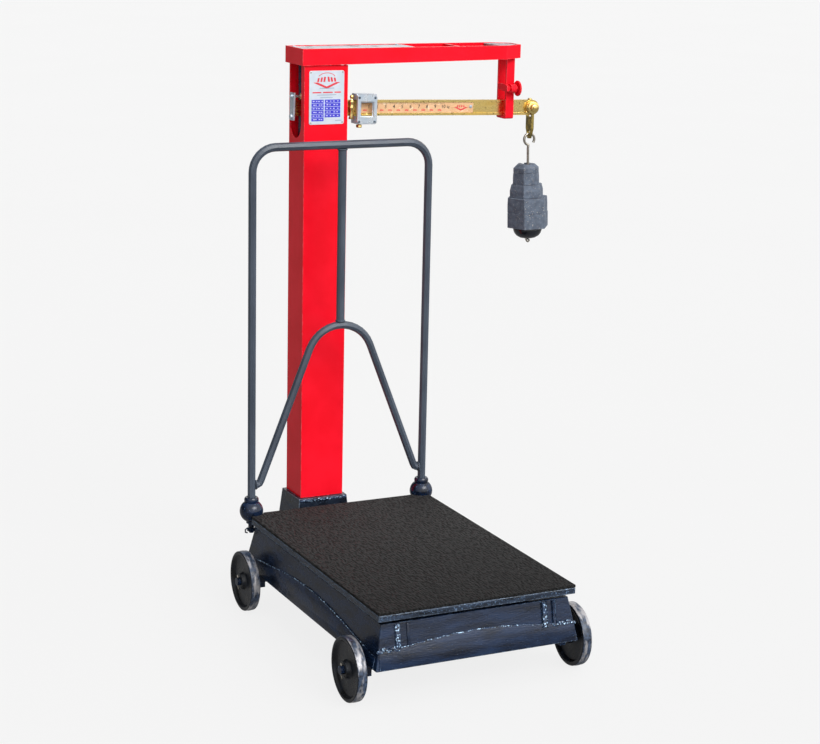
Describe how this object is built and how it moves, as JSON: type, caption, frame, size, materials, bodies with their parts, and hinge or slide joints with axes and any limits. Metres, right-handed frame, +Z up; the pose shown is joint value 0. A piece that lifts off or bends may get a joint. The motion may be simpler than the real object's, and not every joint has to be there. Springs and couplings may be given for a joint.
{
  "type": "portable platform scale",
  "caption": "Wheeled mechanical platform scale with a column, a graduated steelyard beam, a sliding poise, a hanging stack of slotted weights and a guard rail.",
  "frame": {"origin": "on the floor under the middle of the whole scale's bounding box", "axes": "+X along the beam towards its hanging weights, +Y from the platform's free end towards the column, +Z up"},
  "size_m": [0.792, 0.8195, 1.1045],
  "materials": {
    "black_enamel": "glossy brushed enamel over rough castings",
    "wheel_iron": "painted black, tread worn bright",
    "deck_paint": "matt textured paint",
    "red_enamel": "glossy enamel",
    "rail_paint": "satin grey paint",
    "brass": "machined and polished",
    "scale_enamel": "printed metal strip",
    "zinc_plate": "bright zinc plating",
    "bright_steel": "drawn steel",
    "rough_cast_iron": "rough as cast, grey paint",
    "printed_plate": "printed sheet",
    "cover_plate": "smooth plated sheet",
    "end_plate": "dull grey primer"
  },
  "bodies": {
    "scale_stand": {"base_frame": "black_enamel", "axle_carrier_front": "black_enamel", "axle_carrier_rear": "black_enamel", "front_axle": "bright_steel", "rear_axle": "bright_steel", "lever_bearer_front": "black_enamel", "lever_bearer_rear": "black_enamel", "column_foot": "black_enamel", "column_shell": "red_enamel", "column_back_cover": "red_enamel", "nameplate": "printed_plate", "head_frame": "red_enamel", "head_cover_plate": "cover_plate", "head_end_plate": "end_plate", "fulcrum_hanger": "black_enamel", "trig_loop": "red_enamel", "lock_lug": "red_enamel"},
    "platform": {"platform_plate": "deck_paint", "platform_skirt": "black_enamel", "platform_rib_front": "black_enamel", "platform_rib_rear": "black_enamel", "rail_socket_left": "black_enamel", "rail_socket_right": "black_enamel", "guard_rail": "rail_paint", "rail_brace": "rail_paint", "rail_centre_bar": "rail_paint"},
    "long_lever_arm": {"long_lever": "black_enamel", "long_fulcrum_knife": "bright_steel", "long_load_knife": "bright_steel", "lever_link": "bright_steel"},
    "short_lever_arm": {"short_lever": "black_enamel", "short_fulcrum_knife": "bright_steel", "short_load_knife": "bright_steel"},
    "draft": {"draft_rod": "black_enamel", "load_stirrup": "black_enamel"},
    "steelyard": {"beam": "brass", "scale_strip": "scale_enamel", "fulcrum_knife": "bright_steel", "load_knife": "bright_steel", "tip_pin": "brass", "butt_plate": "zinc_plate", "balance_screw": "zinc_plate", "zero_stop": "brass"},
    "balance": {"balance_nut": "brass"},
    "poise": {"poise_frame": "zinc_plate", "poise_body": "zinc_plate"},
    "clamp_screw": {"poise_screw": "brass"},
    "lock": {"lock_lever": "red_enamel"},
    "yoke": {"shackle": "brass"},
    "counterpoise": {"weight_hook": "bright_steel", "weight_foot": "black_enamel"},
    "disc_1": {"weight_1": "rough_cast_iron"},
    "disc_2": {"weight_2": "rough_cast_iron"},
    "disc_3": {"weight_3": "rough_cast_iron"},
    "disc_4": {"weight_4": "rough_cast_iron"},
    "disc_5": {"weight_5": "rough_cast_iron"},
    "roller_front_left": {"wheel_front_left": "wheel_iron"},
    "roller_front_right": {"wheel_front_right": "wheel_iron"},
    "roller_rear_left": {"wheel_rear_left": "wheel_iron"},
    "roller_rear_right": {"wheel_rear_right": "wheel_iron"}
  },
  "joints": [
    {"name": "wheel_front_left_spin", "type": "hinge", "parent": "scale_stand", "child": "roller_front_left", "pos_m": [-0.3763, -0.3472, 0.06055], "axis": [1, 0, 0], "continuous": true},
    {"name": "wheel_front_right_spin", "type": "hinge", "parent": "scale_stand", "child": "roller_front_right", "pos_m": [0.0833, -0.3472, 0.06055], "axis": [1, 0, 0], "continuous": true},
    {"name": "wheel_rear_left_spin", "type": "hinge", "parent": "scale_stand", "child": "roller_rear_left", "pos_m": [-0.3763, 0.1642, 0.06055], "axis": [1, 0, 0], "continuous": true},
    {"name": "wheel_rear_right_spin", "type": "hinge", "parent": "scale_stand", "child": "roller_rear_right", "pos_m": [0.0833, 0.1642, 0.06055], "axis": [1, 0, 0], "continuous": true},
    {"name": "beam_tilt", "type": "hinge", "parent": "scale_stand", "child": "steelyard", "pos_m": [-0.1145, 0.3529, 0.981], "axis": [0, -1, 0], "range_deg": [0, 2.6]},
    {"name": "poise_slide", "type": "slide", "parent": "steelyard", "child": "poise", "axis": [0.9997, 0, -0.0251], "range_m": [0, 0.19]},
    {"name": "poise_screw_turn", "type": "hinge", "parent": "poise", "child": "clamp_screw", "pos_m": [-0.0552, 0.3529, 0.9445], "axis": [0.0251, 0, 0.9997], "range_deg": [0, 180]},
    {"name": "balance_nut_travel", "type": "slide", "parent": "steelyard", "child": "balance", "axis": [0.9997, 0, -0.0251], "range_m": [-0.01, 0.01]},
    {"name": "beam_lock_turn", "type": "hinge", "parent": "scale_stand", "child": "lock", "pos_m": [0.2845, 0.322, 1.0135], "axis": [1, 0, 0], "range_deg": [-41, 0]},
    {"name": "shackle_swing", "type": "hinge", "parent": "steelyard", "child": "yoke", "pos_m": [0.34635, 0.3529, 0.96942], "axis": [0, 1, 0], "range_deg": [-20, 20]},
    {"name": "hook_swing", "type": "hinge", "parent": "yoke", "child": "counterpoise", "pos_m": [0.34635, 0.3529, 0.91021], "axis": [1, 0, 0], "range_deg": [-15, 15]},
    {"name": "weight_1_draw", "type": "slide", "parent": "counterpoise", "child": "disc_1", "axis": [0, -1, 0], "range_m": [0, 0.06]},
    {"name": "weight_2_draw", "type": "slide", "parent": "counterpoise", "child": "disc_2", "axis": [0, -1, 0], "range_m": [0, 0.06]},
    {"name": "weight_3_draw", "type": "slide", "parent": "counterpoise", "child": "disc_3", "axis": [0, -1, 0], "range_m": [0, 0.06]},
    {"name": "weight_4_draw", "type": "slide", "parent": "counterpoise", "child": "disc_4", "axis": [0, -1, 0], "range_m": [0, 0.06]},
    {"name": "weight_5_draw", "type": "slide", "parent": "counterpoise", "child": "disc_5", "axis": [0, -1, 0], "range_m": [0, 0.06]},
    {"name": "draft_travel", "type": "slide", "parent": "scale_stand", "child": "draft", "axis": [0, 0, -1], "range_m": [0, 0.0015]},
    {"name": "long_lever_tilt", "type": "hinge", "parent": "scale_stand", "child": "long_lever_arm", "pos_m": [-0.1465, -0.3265, 0.112], "axis": [-1, 0, 0], "range_deg": [0, 0.13]},
    {"name": "short_lever_tilt", "type": "hinge", "parent": "scale_stand", "child": "short_lever_arm", "pos_m": [-0.1465, 0.1705, 0.09], "axis": [1, 0, 0], "range_deg": [0, 0.13]},
    {"name": "platform_drop", "type": "slide", "parent": "scale_stand", "child": "platform", "axis": [0, 0, -1], "range_m": [0, 0.00005]}
  ],
  "couplings": [
    {"joint": "draft_travel", "follows": "beam_tilt", "m_per_rad": 0.032},
    {"joint": "long_lever_tilt", "follows": "beam_tilt", "ratio": 0.0471},
    {"joint": "short_lever_tilt", "follows": "beam_tilt", "ratio": 0.0471},
    {"joint": "platform_drop", "follows": "beam_tilt", "m_per_rad": 0.000942}
  ]
}
